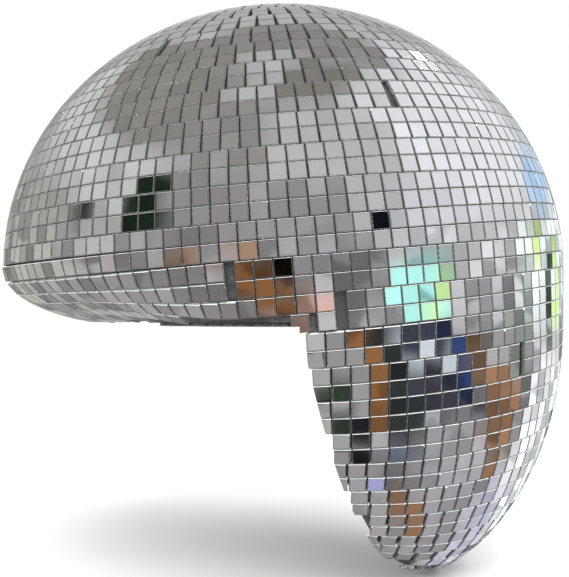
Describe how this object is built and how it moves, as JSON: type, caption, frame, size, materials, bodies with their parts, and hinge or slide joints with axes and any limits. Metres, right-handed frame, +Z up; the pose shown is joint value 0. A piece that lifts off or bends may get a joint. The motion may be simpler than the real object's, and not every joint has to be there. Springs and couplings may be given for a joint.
{
  "type": "melted mirror ball",
  "caption": "Decorative mirror ball shaped as if melting: a mirrored dome that sits on a shelf, with a broad drip that hangs over the shelf's front edge.",
  "frame": {"origin": "the middle of the shelf's front top edge, where the plane of the underside meets the plane of the drip's back", "axes": "+X along the shelf's edge, to the right when facing the shelf; +Y back over the shelf; +Z up"},
  "size_m": [0.2046, 0.2042, 0.2009],
  "materials": {
    "mirror_glass": "silvered clear glass tiles with cut edges",
    "shell_moulding": "dark moulded shell under the tiles",
    "cover_sheet": "flat black sheet",
    "felt": "black self-adhesive felt",
    "screw_steel": "zinc-plated"
  },
  "bodies": {
    "root": {"apron_cover": "cover_sheet", "apron_felt": "felt", "apron_screws": "screw_steel", "crown_tiles": "mirror_glass", "mirror_strip_01": "mirror_glass", "mirror_strip_02": "mirror_glass", "mirror_strip_03": "mirror_glass", "mirror_strip_04": "mirror_glass", "mirror_strip_05": "mirror_glass", "mirror_strip_06": "mirror_glass", "mirror_strip_07": "mirror_glass", "mirror_strip_08": "mirror_glass", "mirror_strip_09": "mirror_glass", "mirror_strip_10": "mirror_glass", "mirror_strip_11": "mirror_glass", "mirror_strip_12": "mirror_glass", "mirror_strip_13": "mirror_glass", "mirror_strip_14": "mirror_glass", "mirror_strip_15": "mirror_glass", "mirror_strip_16": "mirror_glass", "mirror_strip_17": "mirror_glass", "mirror_strip_18": "mirror_glass", "mirror_strip_19": "mirror_glass", "mirror_strip_20": "mirror_glass", "mirror_strip_21": "mirror_glass", "mirror_strip_22": "mirror_glass", "mirror_strip_23": "mirror_glass", "mirror_strip_24": "mirror_glass", "seat_cover": "cover_sheet", "seat_felt": "felt", "seat_screws": "screw_steel", "shell": "shell_moulding"}
  },
  "joints": []
}
